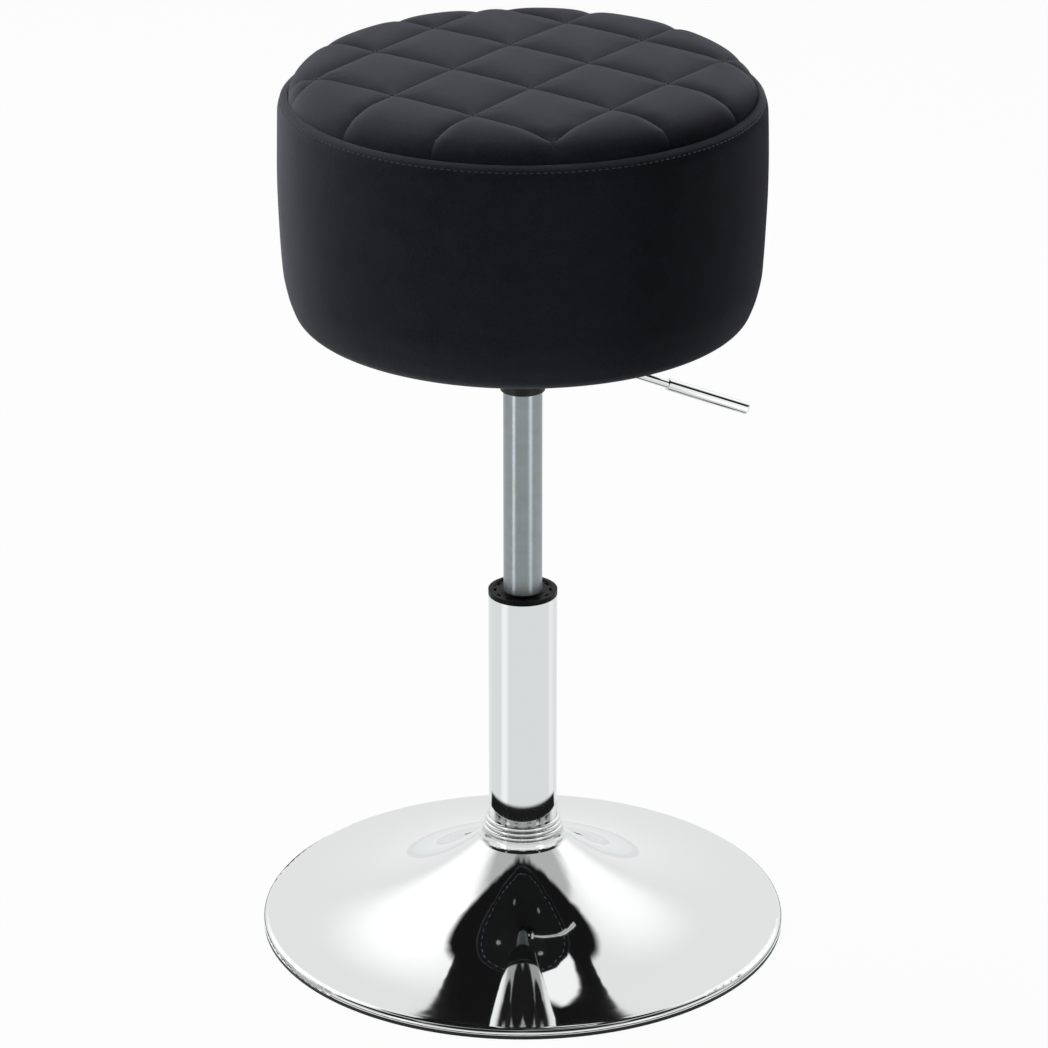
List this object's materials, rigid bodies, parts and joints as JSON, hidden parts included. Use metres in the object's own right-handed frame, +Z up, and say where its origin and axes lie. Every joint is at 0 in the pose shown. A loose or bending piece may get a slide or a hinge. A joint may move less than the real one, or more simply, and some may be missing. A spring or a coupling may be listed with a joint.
{
  "type": "swivel bar stool",
  "caption": "Round padded swivel stool with a quilted velvet seat on a height-adjustable gas lift column and a chromed trumpet base; a side lever releases the height.",
  "frame": {"origin": "on the floor, below the axis of the column", "axes": "+Z up along the column; -Y faces the viewer; the lever points to +X, turned 13 degrees to +Y"},
  "size_m": [0.385, 0.385, 0.658],
  "materials": {
    "chrome": "polished chrome plate",
    "rubber": "moulded black rubber",
    "black_steel": "black powder coat",
    "raw_steel": "mill finish",
    "bearing_steel": "ground steel",
    "zinc_steel": "bright zinc plate",
    "satin_steel": "satin ground steel",
    "black_plastic": "moulded black plastic",
    "nylon": "natural nylon",
    "aluminium": "turned",
    "brass": "turned",
    "plywood": "birch plywood",
    "lining": "black nonwoven",
    "foam": "cut polyurethane foam",
    "velvet": "dark charcoal velvet pile"
  },
  "bodies": {
    "base": {"base_shell": "chrome", "floor_ring": "rubber", "base_plate": "black_steel", "ballast_disc": "raw_steel", "column_socket": "black_steel", "column_tube": "chrome", "column_collar": "chrome", "guide_bush": "black_plastic", "column_end_plate": "raw_steel", "lower_race": "bearing_steel"},
    "cage": {"bearing_cage": "nylon", "bearing_balls": "bearing_steel"},
    "rod": {"upper_race": "bearing_steel", "piston_rod": "bearing_steel", "rod_washer": "bearing_steel", "rod_clip": "bearing_steel", "bump_stop": "rubber", "piston": "aluminium", "piston_seal": "rubber"},
    "seat": {"gas_cylinder": "satin_steel", "rod_guide": "nylon", "rod_seal": "rubber", "valve_plug": "brass", "taper_socket": "black_steel", "seat_plate": "black_steel", "lever_bracket": "black_steel", "lever_pivot_pin": "zinc_steel", "plate_bolts": "zinc_steel", "plate_washers": "zinc_steel", "tee_nuts": "zinc_steel", "seat_board": "plywood", "dust_cover": "lining", "seat_foam": "foam", "seat_side_band": "velvet", "seat_top_panel": "velvet"},
    "lever": {"lever_rod": "chrome", "lever_handle": "chrome"},
    "valve": {"valve_pin": "bearing_steel"}
  },
  "joints": [
    {"name": "swivel", "type": "hinge", "parent": "base", "child": "rod", "pos_m": [0, 0, 0.03], "axis": [0, 0, 1], "continuous": true},
    {"name": "cage_turn", "type": "hinge", "parent": "base", "child": "cage", "pos_m": [0, 0, 0.0277], "axis": [0, 0, 1], "continuous": true},
    {"name": "seat_height", "type": "slide", "parent": "rod", "child": "seat", "axis": [0, 0, 1], "range_m": [-0.14, 0]},
    {"name": "lever_lift", "type": "hinge", "parent": "seat", "child": "lever", "pos_m": [0.02894, 0.00668, 0.444], "axis": [0.225, -0.9744, 0], "range_deg": [0, 8], "stiffness_Nm_per_rad": 0.6, "springref_deg": -11.46},
    {"name": "valve_press", "type": "slide", "parent": "seat", "child": "valve", "axis": [0, 0, -1], "range_m": [0, 0.0046]}
  ],
  "couplings": [
    {"joint": "cage_turn", "follows": "swivel", "ratio": 0.5},
    {"joint": "valve_press", "follows": "lever_lift", "m_per_rad": 0.031871}
  ]
}
